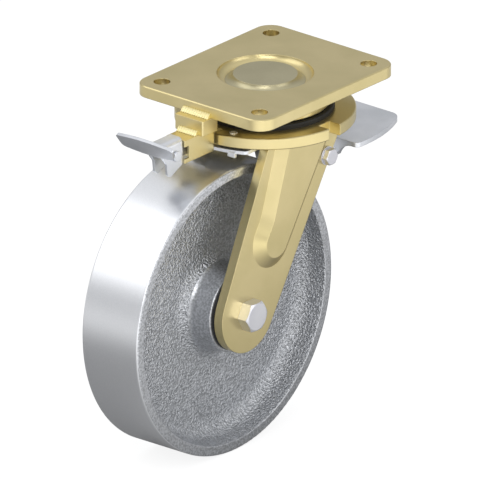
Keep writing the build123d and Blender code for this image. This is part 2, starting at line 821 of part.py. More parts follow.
# Wheel, cast in one piece: rim, recessed web with large fillets, and hub
with BuildPart() as wheel_casting:
    with BuildSketch(axle_section):
        with BuildLine():
            Polyline(
                (bearing_radius + seat_gap, hub_half),
                (hub_radius, hub_half),
                (hub_radius + hub_draft, web_half),
                (rim_inner_radius - rim_draft, web_half),
                (rim_inner_radius, half_width),
                (wheel_radius, half_width),
                (wheel_radius, 0),
                (bearing_shoulder_radius, 0),
                (bearing_shoulder_radius, bearing_inner_y),
                (bearing_radius + seat_gap, bearing_inner_y),
                close=True,
            )
        make_face()
        fillet(
            vertices().filter_by(
                lambda v: abs(v.Y - web_half) < 0.01 and v.X > bearing_radius + 1
            ),
            web_fillet,
        )
        fillet(
            vertices().filter_by(
                lambda v: abs(v.Y - half_width) < 0.01 and abs(v.X - wheel_radius) < 0.01
            ),
            tread_edge_fillet,
        )
        fillet(
            vertices().filter_by(
                lambda v: abs(v.Y - half_width) < 0.01 and abs(v.X - rim_inner_radius) < 0.01
            ),
            casting_edge_fillet,
        )
        fillet(
            vertices().filter_by(
                lambda v: abs(v.Y - hub_half) < 0.01 and abs(v.X - hub_radius) < 0.01
            ),
            casting_edge_fillet,
        )
        mirror(about=Plane.XZ)
    revolve(axis=axle_axis)
wheel_casting.part.label = "wheel_casting"
export_step(wheel_casting.part, "parts/wheel_casting.step")

# Two deep-groove ball bearings in the hub
with BuildPart() as wheel_bearing_outer_rings:
    with BuildSketch(axle_section):
        section_box(outer_ring_bore_radius, bearing_radius, bearing_inner_y, bearing_outer_y)
        with Locations((wheel_ball_pitch_radius, bearing_middle_y)):
            Circle(wheel_ball_radius + groove_clearance, mode=Mode.SUBTRACT)
        mirror(about=Plane.XZ)
    revolve(axis=axle_axis)
wheel_bearing_outer_rings.part.label = "wheel_bearing_outer_rings"
export_step(wheel_bearing_outer_rings.part, "parts/wheel_bearing_outer_rings.step")

with BuildPart() as wheel_bearing_inner_rings:
    with BuildSketch(axle_section):
        section_box(
            sleeve_radius + seat_gap, inner_ring_radius, bearing_inner_y, bearing_outer_y
        )
        with Locations((wheel_ball_pitch_radius, bearing_middle_y)):
            Circle(wheel_ball_radius + groove_clearance, mode=Mode.SUBTRACT)
        mirror(about=Plane.XZ)
    revolve(axis=axle_axis)
wheel_bearing_inner_rings.part.label = "wheel_bearing_inner_rings"
export_step(wheel_bearing_inner_rings.part, "parts/wheel_bearing_inner_rings.step")

with BuildPart() as wheel_bearing_balls:
    with Locations(*bearing_planes):
        with PolarLocations(wheel_ball_pitch_radius, wheel_ball_count):
            Sphere(wheel_ball_radius)
wheel_bearing_balls.part.label = "wheel_bearing_balls"
export_step(wheel_bearing_balls.part, "parts/wheel_bearing_balls.step")

with BuildPart() as wheel_bearing_cages:
    with Locations(*bearing_planes):
        Cylinder(wheel_ball_pitch_radius + wheel_cage_thickness / 2, wheel_cage_width)
        Cylinder(
            wheel_ball_pitch_radius - wheel_cage_thickness / 2,
            wheel_cage_width,
            mode=Mode.SUBTRACT,
        )
        with PolarLocations(wheel_ball_pitch_radius, wheel_ball_count):
            Cylinder(
                wheel_ball_radius + groove_clearance,
                2 * wheel_cage_thickness,
                rotation=(0, 90, 0),
                mode=Mode.SUBTRACT,
            )
wheel_bearing_cages.part.label = "wheel_bearing_cages"
export_step(wheel_bearing_cages.part, "parts/wheel_bearing_cages.step")

with BuildPart() as wheel_bearing_seals:
    with BuildSketch(axle_section):
        section_box(
            inner_ring_radius + side_gap,
            outer_ring_bore_radius - seat_gap,
            bearing_outer_y - bearing_seal_inset - bearing_seal_thickness,
            bearing_outer_y - bearing_seal_inset,
        )
        mirror(about=Plane.XZ)
    revolve(axis=axle_axis)
wheel_bearing_seals.part.label = "wheel_bearing_seals"
export_step(wheel_bearing_seals.part, "parts/wheel_bearing_seals.step")

# Black dust caps on the hub faces, just inside the legs
with BuildPart() as hub_dust_caps:
    with BuildSketch(axle_section):
        section_box(
            sleeve_radius + dust_cap_bore_gap,
            hub_radius - dust_cap_edge,
            hub_half,
            hub_half + dust_cap_thickness,
        )
        mirror(about=Plane.XZ)
    revolve(axis=axle_axis)
hub_dust_caps.part.label = "hub_dust_caps"
export_step(hub_dust_caps.part, "parts/hub_dust_caps.step")

# Brake pedal, folded from one sheet: blade, turned-down shoulders and two arms. Each arm has an
# eye on the pivot and a round finger above it that stands in a notch of the lock plate.
arm_foot_z = pedal_blade_z - pedal_flange_drop
arm_root_x = pedal_root_x + pedal_sheet

with BuildPart() as brake_pedal:
    with BuildSketch(Plane.XY.offset(pedal_blade_z - pedal_sheet)) as blade:
        with BuildLine():
            Polyline(
                (pedal_tip_x, -pedal_tip_half_width),
                (pedal_tip_x, pedal_tip_half_width),
            )
            ThreePointArc(
                (pedal_tip_x, pedal_tip_half_width),
                (
                    (pedal_tip_x + pedal_root_x) / 2,
                    (pedal_tip_half_width + pedal_root_half_width) / 2 + pedal_side_bulge,
                ),
                (pedal_root_x, pedal_root_half_width),
            )
            Polyline(
                (pedal_root_x, pedal_root_half_width),
                (pedal_root_x, pedal_arm_outer_y),
                (pedal_neck_x, pedal_arm_outer_y),
                (pedal_neck_x, -pedal_arm_outer_y),
                (pedal_root_x, -pedal_arm_outer_y),
                (pedal_root_x, -pedal_root_half_width),
            )
            ThreePointArc(
                (pedal_root_x, -pedal_root_half_width),
                (
                    (pedal_tip_x + pedal_root_x) / 2,
                    -(pedal_tip_half_width + pedal_root_half_width) / 2 - pedal_side_bulge,
                ),
                (pedal_tip_x, -pedal_tip_half_width),
            )
        make_face()
        fillet(vertices().group_by(Axis.X)[-1], pedal_corner_radius)
        fillet(
            vertices().filter_by(lambda v: abs(abs(v.Y) - pedal_root_half_width) < 0.5),
            pedal_sheet,
        )
    extrude(amount=pedal_sheet)
    with BuildSketch(Plane.YZ.offset(pedal_root_x)):
        with BuildLine():
            Polyline(
                (pedal_root_half_width - pedal_sheet, pedal_blade_z),
                (pedal_arm_inner_y, pedal_blade_z),
                (pedal_arm_inner_y, arm_foot_z),
                (pedal_arm_outer_y + pedal_sheet, arm_foot_z),
            )
            ThreePointArc(
                (pedal_arm_outer_y + pedal_sheet, arm_foot_z),
                (pedal_arm_outer_y + pedal_flange_mid_y, pedal_blade_z - pedal_flange_mid_drop),
                (pedal_root_half_width - pedal_sheet, pedal_blade_z - pedal_sheet),
            )
            Line(
                (pedal_root_half_width - pedal_sheet, pedal_blade_z - pedal_sheet),
                (pedal_root_half_width - pedal_sheet, pedal_blade_z),
            )
        make_face()
        mirror(about=Plane.YZ)
    extrude(amount=pedal_sheet)
    for arm_y in (pedal_arm_inner_y, -pedal_arm_outer_y):
        with BuildSketch(Plane.XZ.offset(arm_y)):
            with BuildLine():
                Polyline(
                    (arm_root_x, pedal_blade_z),
                    (pedal_pivot_x, pedal_blade_z),
                    (pedal_pivot_x, pedal_pivot_z - pedal_boss_radius),
                    (arm_root_x, arm_foot_z),
                    close=True,
                )
            make_face()
            with Locations((pedal_pivot_x, pedal_pivot_z)):
                Circle(pedal_boss_radius)
            with Locations((pedal_pivot_x, (pedal_finger_z + pedal_pivot_z) / 2)):
                Rectangle(2 * pedal_finger_radius, pedal_finger_z - pedal_pivot_z)
            with Locations((pedal_pivot_x, pedal_finger_z)):
                Circle(pedal_finger_radius)
            with Locations((pedal_pivot_x, pedal_pivot_z)):
                Circle(pivot_radius + running_gap, mode=Mode.SUBTRACT)
        extrude(amount=pedal_sheet)
brake_pedal.part.label = "brake_pedal"
export_step(brake_pedal.part, "parts/brake_pedal.step")

# Brake shoe between the arms: its round nose is pressed on the tread. At rest the nose stands off
# the tread by the shoe's gap.
nose_x = pedal_pivot_x + shoe_nose_x
nose_reach = wheel_radius + shoe_gap + shoe_nose_radius
nose_z = axle_z + sqrt(nose_reach**2 - (nose_x - axle_x) ** 2)

with BuildPart() as brake_shoe:
    with BuildSketch(Plane.XZ.offset(-pedal_arm_inner_y)):
        with BuildLine():
            CenterArc((pedal_pivot_x, pedal_pivot_z), pedal_boss_radius, 0, 360)
            CenterArc((nose_x, nose_z), shoe_nose_radius, 0, 360)
        make_hull()
        with Locations((pedal_pivot_x, pedal_pivot_z)):
            Circle(pivot_radius + running_gap, mode=Mode.SUBTRACT)
    extrude(amount=2 * pedal_arm_inner_y)
brake_shoe.part.label = "brake_shoe"
export_step(brake_shoe.part, "parts/brake_shoe.step")

# Brake pivot: bolt, washers, nut and the shims between arms and legs
with BuildPart() as brake_pivot_bolt:
    with BuildSketch(Plane((pedal_pivot_x, -pivot_seat_y, pedal_pivot_z), z_dir=(0, -1, 0))):
        RegularPolygon(pivot_head_flats / 2, 6, major_radius=False, rotation=30)
    extrude(amount=pivot_head_height)
    with BuildSketch(
        Plane(
            (pedal_pivot_x, -pivot_seat_y - pivot_head_height, pedal_pivot_z),
            z_dir=(0, -1, 0),
        )
    ):
        Circle(head_face_share * pivot_head_flats / 2)
    extrude(amount=-pivot_head_height, taper=-head_chamfer_angle, mode=Mode.INTERSECT)
    with BuildSketch(Plane((pedal_pivot_x, -pivot_seat_y, pedal_pivot_z), z_dir=(0, 1, 0))):
        Circle(pivot_radius)
    extrude(amount=2 * pivot_seat_y + pivot_nut_height + pivot_overhang)
brake_pivot_bolt.part.label = "brake_pivot_bolt"
export_step(brake_pivot_bolt.part, "parts/brake_pivot_bolt.step")

with BuildPart() as brake_pivot_nut:
    with BuildSketch(Plane((pedal_pivot_x, pivot_seat_y, pedal_pivot_z), z_dir=(0, 1, 0))):
        RegularPolygon(pivot_head_flats / 2, 6, major_radius=False, rotation=30)
        Circle(pivot_radius + seat_gap, mode=Mode.SUBTRACT)
    extrude(amount=pivot_nut_height)
    with BuildSketch(
        Plane((pedal_pivot_x, pivot_seat_y + pivot_nut_height, pedal_pivot_z), z_dir=(0, 1, 0))
    ):
        Circle(head_face_share * pivot_head_flats / 2)
    extrude(amount=-pivot_nut_height, taper=-head_chamfer_angle, mode=Mode.INTERSECT)
brake_pivot_nut.part.label = "brake_pivot_nut"
export_step(brake_pivot_nut.part, "parts/brake_pivot_nut.step")

with BuildPart() as brake_pivot_washers:
    for side in (-1, 1):
        with BuildSketch(
            Plane((pedal_pivot_x, side * leg_outer_y, pedal_pivot_z), z_dir=(0, side, 0))
        ):
            Circle(pivot_washer_radius)
            Circle(pivot_radius + sleeve_bore_gap, mode=Mode.SUBTRACT)
        extrude(amount=pivot_washer_thickness)
brake_pivot_washers.part.label = "brake_pivot_washers"
export_step(brake_pivot_washers.part, "parts/brake_pivot_washers.step")

with BuildPart() as pedal_shims:
    for side in (-1, 1):
        with BuildSketch(
            Plane((pedal_pivot_x, side * leg_inner_y, pedal_pivot_z), z_dir=(0, -side, 0))
        ):
            Circle(shim_radius)
            Circle(pivot_radius + sleeve_bore_gap, mode=Mode.SUBTRACT)
        extrude(amount=leg_inner_y - pedal_arm_outer_y - side_gap)
pedal_shims.part.label = "pedal_shims"
export_step(pedal_shims.part, "parts/pedal_shims.step")

# Sliding lock plate between the legs, with the tooth that locks the swivel
hole_radius = disc_radius + lock_plate_hole_gap
hole_rear_x = -lock_plate_travel - hole_radius
finger_notch_half = pedal_finger_radius + pedal_finger_gap

with BuildPart() as swivel_lock_plate:
    with BuildSketch(Plane.XY.offset(lock_plate_bottom_z)):
        Circle(lock_plate_rear_radius)
        with Locations(((lock_plate_front_x - lock_plate_rear_radius) / 2, 0)):
            Rectangle(
                lock_plate_front_x + lock_plate_rear_radius,
                2 * lock_plate_half_width,
                mode=Mode.INTERSECT,
            )
        fillet(vertices(), lock_plate_corner)
        with Locations((-lock_plate_travel / 2, 0)):
            SlotCenterToCenter(lock_plate_travel, 2 * hole_radius, mode=Mode.SUBTRACT)
        with Locations((hole_rear_x + lock_tooth_length / 2 - lock_tooth_root, 0)):
            Rectangle(lock_tooth_length + 2 * lock_tooth_root, lock_tooth_width)
        with Locations((pedal_pivot_x, 0)):
            with GridLocations(0, 2 * lock_plate_half_width, 1, 2):
                Rectangle(
                    2 * finger_notch_half,
                    2 * (lock_plate_half_width - pedal_arm_inner_y + side_gap),
                    mode=Mode.SUBTRACT,
                )
    extrude(amount=lock_plate_thickness)
    with BuildSketch(Plane.XY.offset(lock_plate_bottom_z - lock_tab_drop)):
        with Locations((-lock_plate_rear_radius + lock_tab_inset, lock_tab_y)):
            Rectangle(lock_plate_thickness, lock_tab_width)
        mirror(about=Plane.XZ)
    extrude(amount=lock_tab_drop + lock_plate_thickness / 2)
swivel_lock_plate.part.label = "swivel_lock_plate"
export_step(swivel_lock_plate.part, "parts/swivel_lock_plate.step")

# Directional lock on the plate's rear edge: spacer block, guide housing and their welds
with BuildPart() as lock_spacer_block:
    with BuildSketch(Plane.XY.offset(block_bottom_z)):
        with Locations(((block_front_x + block_rear_x) / 2, 0)):
            Rectangle(block_rear_x - block_front_x, 2 * block_half_width)
    extrude(amount=block_height)
    chamfer(lock_spacer_block.edges().filter_by(Axis.Z), block_chamfer)
lock_spacer_block.part.label = "lock_spacer_block"
export_step(lock_spacer_block.part, "parts/lock_spacer_block.step")

lock_nose_z = lock_pin_z
housing_pin_slot_half = lock_pin_head_radius + housing_pin_slot_gap
with BuildPart() as lock_guide_housing:
    with BuildSketch(Plane.XY.offset(housing_bottom_z)):
        with Locations(((housing_front_x + housing_rear_x) / 2, 0)):
            Rectangle(housing_rear_x - housing_front_x, 2 * housing_half_width)
    extrude(amount=housing_height)
    with BuildSketch(Plane.YZ.offset(housing_front_x)):
        with Locations((0, lock_nose_z)):
            Rectangle(
                lock_nose_size + 2 * housing_bore_gap, lock_nose_size + 2 * housing_bore_gap
            )
    extrude(amount=housing_rear_x - housing_front_x, mode=Mode.SUBTRACT)
    with BuildSketch(Plane.XZ.offset(-housing_slot_half_width)):
        with BuildLine():
            Polyline(
                (housing_front_x, housing_bottom_z),
                (housing_front_x, block_bottom_z - housing_slot_roof),
                (
                    housing_front_x + housing_slot_roof_run,
                    block_bottom_z - housing_slot_roof_deep,
                ),
                (housing_slot_rear_x, block_bottom_z - housing_slot_roof_deep),
                (housing_slot_rear_x, housing_bottom_z),
                close=True,
            )
        make_face()
    extrude(amount=2 * housing_slot_half_width, mode=Mode.SUBTRACT)
    # Slot in both cheeks, for the pin's heads when the bolt is out
    with BuildSketch(Plane.XZ.offset(-housing_half_width)):
        with Locations((housing_front_x, lock_pin_z)):
            Rectangle(
                2 * (lock_pin_x + lock_bolt_travel + housing_pin_slot_half - housing_front_x),
                2 * housing_pin_slot_half,
            )
    extrude(amount=2 * housing_half_width, mode=Mode.SUBTRACT)
lock_guide_housing.part.label = "lock_guide_housing"
export_step(lock_guide_housing.part, "parts/lock_guide_housing.step")

with BuildPart() as lock_welds:
    with BuildSketch(Plane.XZ.offset(-plate_bead_length / 2)):
        with BuildLine():
            Polyline(
                (plate_rear_x - plate_bead_size, block_top_z),
                (plate_rear_x, block_top_z),
                (plate_rear_x, block_top_z + plate_bead_size),
            )
            ThreePointArc(
                (plate_rear_x, block_top_z + plate_bead_size),
                (
                    plate_rear_x - bead_bulge * plate_bead_size,
                    block_top_z + bead_bulge * plate_bead_size,
                ),
                (plate_rear_x - plate_bead_size, block_top_z),
            )
        make_face()
    extrude(amount=plate_bead_length)
    with BuildSketch(Plane.XZ.offset(-housing_bead_length / 2)):
        with BuildLine():
            Polyline(
                (block_front_x - housing_bead_size, block_bottom_z),
                (block_front_x, block_bottom_z),
                (block_front_x, block_bottom_z + housing_bead_size),
            )
            ThreePointArc(
                (block_front_x, block_bottom_z + housing_bead_size),
                (
                    block_front_x - bead_bulge * housing_bead_size,
                    block_bottom_z + bead_bulge * housing_bead_size,
                ),
                (block_front_x - housing_bead_size, block_bottom_z),
            )
        make_face()
    extrude(amount=housing_bead_length)
lock_welds.part.label = "lock_welds"
export_step(lock_welds.part, "parts/lock_welds.step")

# Lock bolt: a square nose for the head's notch and a narrow tail with the lever's pin hole
with BuildPart() as lock_bolt:
    with BuildSketch(Plane.YZ.offset(lock_nose_tip_x - lock_nose_length)):
        with Locations((0, lock_nose_z)):
            Rectangle(lock_nose_size, lock_nose_size)
    extrude(amount=lock_nose_length)
    chamfer(lock_bolt.faces().sort_by(Axis.X)[-1].edges(), lock_nose_chamfer)
    with BuildSketch(Plane.XZ.offset(-lock_tail_half_width)):
        with Locations(
            ((lock_pin_x + lock_nose_tip_x - lock_nose_length) / 2, lock_pin_z)
        ):
            Rectangle(
                lock_nose_tip_x - lock_nose_length - lock_pin_x, lock_tail_height
            )
        with Locations((lock_pin_x, lock_pin_z)):
            Circle(lock_tail_height / 2)
            Circle(lock_pin_radius + seat_gap, mode=Mode.SUBTRACT)
    extrude(amount=2 * lock_tail_half_width)
lock_bolt.part.label = "lock_bolt"
export_step(lock_bolt.part, "parts/lock_bolt.step")

with BuildPart() as lock_lever_pin:
    with BuildSketch(Plane((lock_pin_x, -lever_half_width - side_gap, lock_pin_z), z_dir=(0, 1, 0))):
        Circle(lock_pin_radius)
    extrude(amount=2 * lever_half_width + 2 * side_gap)
    for side in (-1, 1):
        with BuildSketch(
            Plane(
                (lock_pin_x, side * (lever_half_width + side_gap), lock_pin_z),
                z_dir=(0, side, 0),
            )
        ):
            Circle(lock_pin_head_radius)
        extrude(amount=lock_pin_head_height)
lock_lever_pin.part.label = "lock_lever_pin"
export_step(lock_lever_pin.part, "parts/lock_lever_pin.step")

# Lock lever: a folded channel with two ears on the pin, and a wide foot pad across its end
lever_side = Plane(origin=(lock_pin_x, lever_half_width, lock_pin_z), x_dir=(1, 0, 0), z_dir=(0, -1, 0))
pad_run = lever_pad_top[0] - lever_pad_low[0]
pad_lift = lever_pad_top[1] - lever_pad_low[1]
pad_half = sqrt(pad_run**2 + pad_lift**2) / 2
pad_end_y = pad_half - lever_pad_bulge
pad_low_x = lever_pad_half_width - lever_pad_end_slant
pad_plane = Plane(
    origin=(
        lock_pin_x + (lever_pad_low[0] + lever_pad_top[0]) / 2,
        0,
        lock_pin_z + (lever_pad_low[1] + lever_pad_top[1]) / 2,
    ),
    x_dir=(0, -1, 0),
    z_dir=(-pad_lift, 0, pad_run),
)

with BuildPart() as lock_lever:
    with BuildSketch(Plane.YZ.offset(lock_pin_x + lever_back)):
        with Locations((0, lock_pin_z + lever_top - lever_blank_depth / 2)):
            Rectangle(2 * lever_half_width, lever_blank_depth)
        fillet(vertices().group_by(Axis.Y)[-1], lever_bend_radius)
        with Locations((0, lock_pin_z + lever_top - lever_blank_depth / 2 - lever_sheet)):
            Rectangle(
                2 * (lever_half_width - lever_sheet), lever_blank_depth, mode=Mode.SUBTRACT
            )
    extrude(amount=lever_pad_low[0] - lever_back - lever_pad_thickness)
    with BuildSketch(lever_side):
        with BuildLine():
            Polyline(
                (lever_back, lever_top),
                (lever_back, lever_ear_low),
                lever_tip,
                lever_heel,
                lever_waist,
                lever_shoulder,
                lever_pad_low,
                (lever_pad_low[0] - lever_pad_overlap, lever_top),
                close=True,
            )
        make_face()
        fillet(vertices().sort_by_distance(lever_waist)[0], lever_waist_fillet)
        fillet(vertices().sort_by_distance(lever_tip)[0], lever_corner_fillet)
        fillet(vertices().sort_by_distance(lever_heel)[0], lever_corner_fillet)
        fillet(vertices().sort_by_distance((lever_back, lever_ear_low))[0], lever_corner_fillet)
    extrude(amount=2 * lever_half_width, mode=Mode.INTERSECT)
    with BuildSketch(pad_plane):
        with BuildLine():
            ThreePointArc((-pad_low_x, -pad_end_y), (0, -pad_half), (pad_low_x, -pad_end_y))
            Line((pad_low_x, -pad_end_y), (lever_pad_half_width, pad_end_y))
            ThreePointArc(
                (lever_pad_half_width, pad_end_y), (0, pad_half), (-lever_pad_half_width, pad_end_y)
            )
            Line((-lever_pad_half_width, pad_end_y), (-pad_low_x, -pad_end_y))
        make_face()
        fillet(vertices().group_by(Axis.Y)[0], lever_pad_low_corner)
        fillet(vertices().group_by(Axis.Y)[-1], lever_pad_top_corner)
    extrude(amount=-lever_pad_thickness)
    with BuildSketch(lever_side):
        Circle(lock_pin_radius + running_gap)
    extrude(amount=2 * lever_half_width, mode=Mode.SUBTRACT)
lock_lever.part.label = "lock_lever"
export_step(lock_lever.part, "parts/lock_lever.step")
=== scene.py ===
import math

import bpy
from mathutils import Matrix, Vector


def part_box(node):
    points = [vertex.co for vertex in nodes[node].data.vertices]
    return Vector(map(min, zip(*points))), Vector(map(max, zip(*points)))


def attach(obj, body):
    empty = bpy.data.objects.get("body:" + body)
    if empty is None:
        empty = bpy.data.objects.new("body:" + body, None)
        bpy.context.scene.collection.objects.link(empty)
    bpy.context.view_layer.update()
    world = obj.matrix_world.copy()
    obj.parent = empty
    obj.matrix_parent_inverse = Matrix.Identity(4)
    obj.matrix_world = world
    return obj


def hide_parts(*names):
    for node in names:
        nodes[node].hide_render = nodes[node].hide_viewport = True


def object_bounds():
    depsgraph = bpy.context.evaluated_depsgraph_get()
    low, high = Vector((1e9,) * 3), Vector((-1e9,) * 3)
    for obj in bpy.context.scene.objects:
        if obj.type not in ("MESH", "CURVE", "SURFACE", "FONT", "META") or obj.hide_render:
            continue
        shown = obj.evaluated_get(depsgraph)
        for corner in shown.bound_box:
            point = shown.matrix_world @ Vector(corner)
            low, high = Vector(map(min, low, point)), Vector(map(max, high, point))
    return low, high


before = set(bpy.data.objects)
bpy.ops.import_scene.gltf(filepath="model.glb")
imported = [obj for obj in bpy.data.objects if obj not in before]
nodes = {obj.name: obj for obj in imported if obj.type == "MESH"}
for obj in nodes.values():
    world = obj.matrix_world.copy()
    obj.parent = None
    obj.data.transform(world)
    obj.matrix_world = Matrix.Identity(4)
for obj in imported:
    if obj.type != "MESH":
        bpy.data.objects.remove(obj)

# %% [markdown]
# This lesson dresses a heavy duty swivel castor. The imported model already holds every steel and
# iron piece at full size, so most of the work here is finish: yellow zinc on the pressed and
# forged parts, white zinc on the levers and bolts, painted cast iron on the wheel. Only what a
# solid model leaves plain is modelled again: rippled weld beads and the ends of screw threads.

MM = 0.001
cad_low, cad_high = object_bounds()
bpy.ops.object.select_all(action="DESELECT")
print(f"{len(nodes)} nodes, the box runs from {tuple(cad_low)} to {tuple(cad_high)}")

# %% [markdown]
# The photograph is taken with a very long lens: the four plate holes lie on an exact
# parallelogram, so an orthographic camera fits it. Its direction comes from the slopes of the
# plate's two edges. The plate's centre isn't the picture's centre, so the camera is set off
# sideways and downwards by that many picture points.

# %% Camera
image_size = 480
points_per_metre = 1213
plate_centre_px = (265.3, 72.5)
camera_azimuth = math.radians(-50.03)
camera_elevation = math.radians(21.95)
camera_distance = 3

look = Vector((
    -math.sin(camera_azimuth) * math.cos(camera_elevation),
    math.cos(camera_azimuth) * math.cos(camera_elevation),
    -math.sin(camera_elevation),
))
turn = look.to_track_quat("-Z", "Y")
right = turn @ Vector((1, 0, 0))
up = turn @ Vector((0, 1, 0))
half_image = image_size / 2
aim = right * ((half_image - plate_centre_px[0]) / points_per_metre)
aim -= up * ((half_image - plate_centre_px[1]) / points_per_metre)

bpy.ops.object.camera_add(location=aim - look * camera_distance)
camera = bpy.context.object
camera.name = "photo_camera"
camera.rotation_euler = turn.to_euler()
camera.data.type = "ORTHO"
camera.data.ortho_scale = image_size / points_per_metre
bpy.context.scene.camera = camera
print(f"the view is {camera.data.ortho_scale:.4f} m wide")

# %% [markdown]
# The room, the floor and every finish are small networks of shader nodes, and the same three
# steps come back in all of them: start with an empty network, do a sum, and stretch one range of
# numbers onto another. Each gets a helper, so that the recipes below read as recipes.

# %% Helpers for shader networks
def empty_tree(owner):
    """The node tree of a world or material, with nothing in it."""
    owner.use_nodes = True
    owner.node_tree.nodes.clear()
    return owner.node_tree


def maths(tree, operation, *values):
    """One step of arithmetic. A plain number sits on the node's own socket."""
    step = tree.nodes.new("ShaderNodeMath")
    step.operation = operation
    for socket, value in zip(step.inputs, values):
        if isinstance(value, (int, float)):
            socket.default_value = value
        else:
            tree.links.new(value, socket)
    return step.outputs[0]


def stretch(tree, value, source, target):
    """A number moved from one range onto another, and held inside it."""
    spread = tree.nodes.new("ShaderNodeMapRange")
    spread.inputs["From Min"].default_value = source[0]
    spread.inputs["From Max"].default_value = source[1]
    spread.inputs["To Min"].default_value = target[0]
    spread.inputs["To Max"].default_value = target[1]
    tree.links.new(value, spread.inputs["Value"])
    return spread.outputs["Result"]


def seen_directly(tree):
    """The ray kinds of a network, and 1 for rays from the camera or through glass."""
    rays = tree.nodes.new("ShaderNodeLightPath").outputs
    return rays, maths(tree, "MAXIMUM", rays["Is Camera Ray"], rays["Is Transmission Ray"])


print("helpers: empty_tree, maths, stretch, seen_directly")

# %% [markdown]
# A photographer's white tent is dimmer at the horizon than overhead, and that gradient is what
# gives bare metal its shape. So the metal mirrors a room that brightens upwards. The camera looks
# past all that and sees the plain white background of the photograph.

# %% Room
tent_heights = (0.25, 0.9)
tent_strengths = (0.48, 0.88)
tent_colour = (0.97, 0.98, 1.0, 1)
background_white = (1, 1, 1, 1)

world = bpy.data.worlds.new("studio")
bpy.context.scene.world = world
tree = empty_tree(world)
direction = tree.nodes.new("ShaderNodeTexCoord")
height = tree.nodes.new("ShaderNodeSeparateXYZ")
tree.links.new(direction.outputs["Generated"], height.inputs[0])
room_light = tree.nodes.new("ShaderNodeBackground")
room_light.inputs["Color"].default_value = tent_colour
tent = stretch(tree, height.outputs["Z"], tent_heights, tent_strengths)
tree.links.new(tent, room_light.inputs["Strength"])
room_seen = tree.nodes.new("ShaderNodeBackground")
room_seen.inputs["Color"].default_value = background_white
room_seen.inputs["Strength"].default_value = 1.0
rays, direct = seen_directly(tree)
mix = tree.nodes.new("ShaderNodeMixShader")
tree.links.new(direct, mix.inputs["Fac"])
tree.links.new(room_light.outputs[0], mix.inputs[1])
tree.links.new(room_seen.outputs[0], mix.inputs[2])
out = tree.nodes.new("ShaderNodeOutputWorld")
tree.links.new(mix.outputs[0], out.inputs["Surface"])
print(f"the room's strength goes from {tent_strengths[0]} to {tent_strengths[1]}")

# %% [markdown]
# Four square lamps give the highlights. The key lamp stands high in front, a little above the
# camera's line of sight. The back lamp stands high on the left, beside the castor, where the tread
# mirrors it as a white band. The front lamp, on the right, and a small, low lamp in front lift the
# side of the fork that faces the camera.

# %% Lamps
lamp_target = Vector((0, 0, -0.15))
lamps = {
    "key_lamp": {"place": (-1.3, -0.9, 1.0), "size": 1.1, "power": 8},
    "back_lamp": {"place": (-0.95, 0.8, 0.82), "size": 1.3, "power": 5},
    "front_lamp": {"place": (0.3, -1.9, 0.35), "size": 1.4, "power": 7},
    "low_lamp": {"place": (-1.15, -1.45, 0.1), "size": 0.6, "power": 3},
}
for name, lamp_facts in lamps.items():
    place = Vector(lamp_facts["place"])
    bpy.ops.object.light_add(type="AREA", location=place)
    lamp = bpy.context.object
    lamp.name = name
    lamp.rotation_euler = (lamp_target - place).to_track_quat("-Z", "Y").to_euler()
    lamp.data.shape = "SQUARE"
    lamp.data.size = lamp_facts["size"]
    lamp.data.energy = lamp_facts["power"]
    print(f"{name}: {lamp_facts['power']} W")

bpy.context.scene.view_settings.view_transform = "Standard"

# %% [markdown]
# The wheel stands on a white floor. The camera sees it as a lit surface with some plain emission
# added, so that the picture stays white but keeps a soft shadow. The metal's mirror images show
# the floor glow, a painted reflection of a white board in front of the castor and of bright floor
# far away. Close to the wheel and behind it the glow stays dim, a painted shadow of the wheel in
# those mirror images. Apart from those mirror images, the glow adds no light to the castor.

# %% Floor
floor_size = 14
floor_drop = 0.0002
floor_grey = (0.22, 0.22, 0.22, 1)
glow_seen = 0.86
painted_glow_direction = (-0.3, -0.95, 0)
painted_glow_range = (0.02, 0.5)
painted_glow_levels = (0.06, 1.15)
painted_far_range = (0.4, 0.85)
painted_far_glow = (0.0, 0.6)

bpy.ops.mesh.primitive_plane_add(size=floor_size, location=(0, 0, cad_low.z - floor_drop))
floor = bpy.context.object
floor.name = "studio_floor"
white = bpy.data.materials.new("studio_white")
tree = empty_tree(white)
matt = tree.nodes.new("ShaderNodeBsdfDiffuse")
matt.inputs["Color"].default_value = floor_grey
place = tree.nodes.new("ShaderNodeTexCoord").outputs["Object"]
forward = tree.nodes.new("ShaderNodeVectorMath")
forward.operation = "DOT_PRODUCT"
forward.inputs[1].default_value = painted_glow_direction
tree.links.new(place, forward.inputs[0])
distance = tree.nodes.new("ShaderNodeVectorMath")
distance.operation = "LENGTH"
tree.links.new(place, distance.inputs[0])
# Painted reflection and painted shadow: this glow shows only in mirror images. It is bright in
# front and far off, and dim near the wheel.
painted_board_reflection = stretch(tree, forward.outputs["Value"], painted_glow_range, painted_glow_levels)
painted_far_reflection = stretch(tree, distance.outputs["Value"], painted_far_range, painted_far_glow)
rays, direct = seen_directly(tree)
painted_mirror_glow = maths(tree, "MULTIPLY", maths(tree, "MAXIMUM", painted_board_reflection, painted_far_reflection), rays["Is Glossy Ray"])
glow = tree.nodes.new("ShaderNodeEmission")
tree.links.new(maths(tree, "MULTIPLY_ADD", direct, glow_seen, painted_mirror_glow), glow.inputs["Strength"])
lit_and_glowing = tree.nodes.new("ShaderNodeAddShader")
tree.links.new(matt.outputs[0], lit_and_glowing.inputs[0])
tree.links.new(glow.outputs[0], lit_and_glowing.inputs[1])
out = tree.nodes.new("ShaderNodeOutputMaterial")
tree.links.new(lit_and_glowing.outputs[0], out.inputs["Surface"])
floor.data.materials.append(white)
print(f"the floor lies at {floor.location.z:.4f} m")

# %% [markdown]
# Metal finishes share one recipe. A colour wanders a little in large soft patches, a second, finer
# noise changes the roughness, and a small bump keeps the reflections from looking like glass. All
# patterns read Object coordinates, so they stay on the piece when it moves.

# %% Helpers for materials
colour_levels = (0.35, 0.65)
noise_levels = (0.3, 0.7)


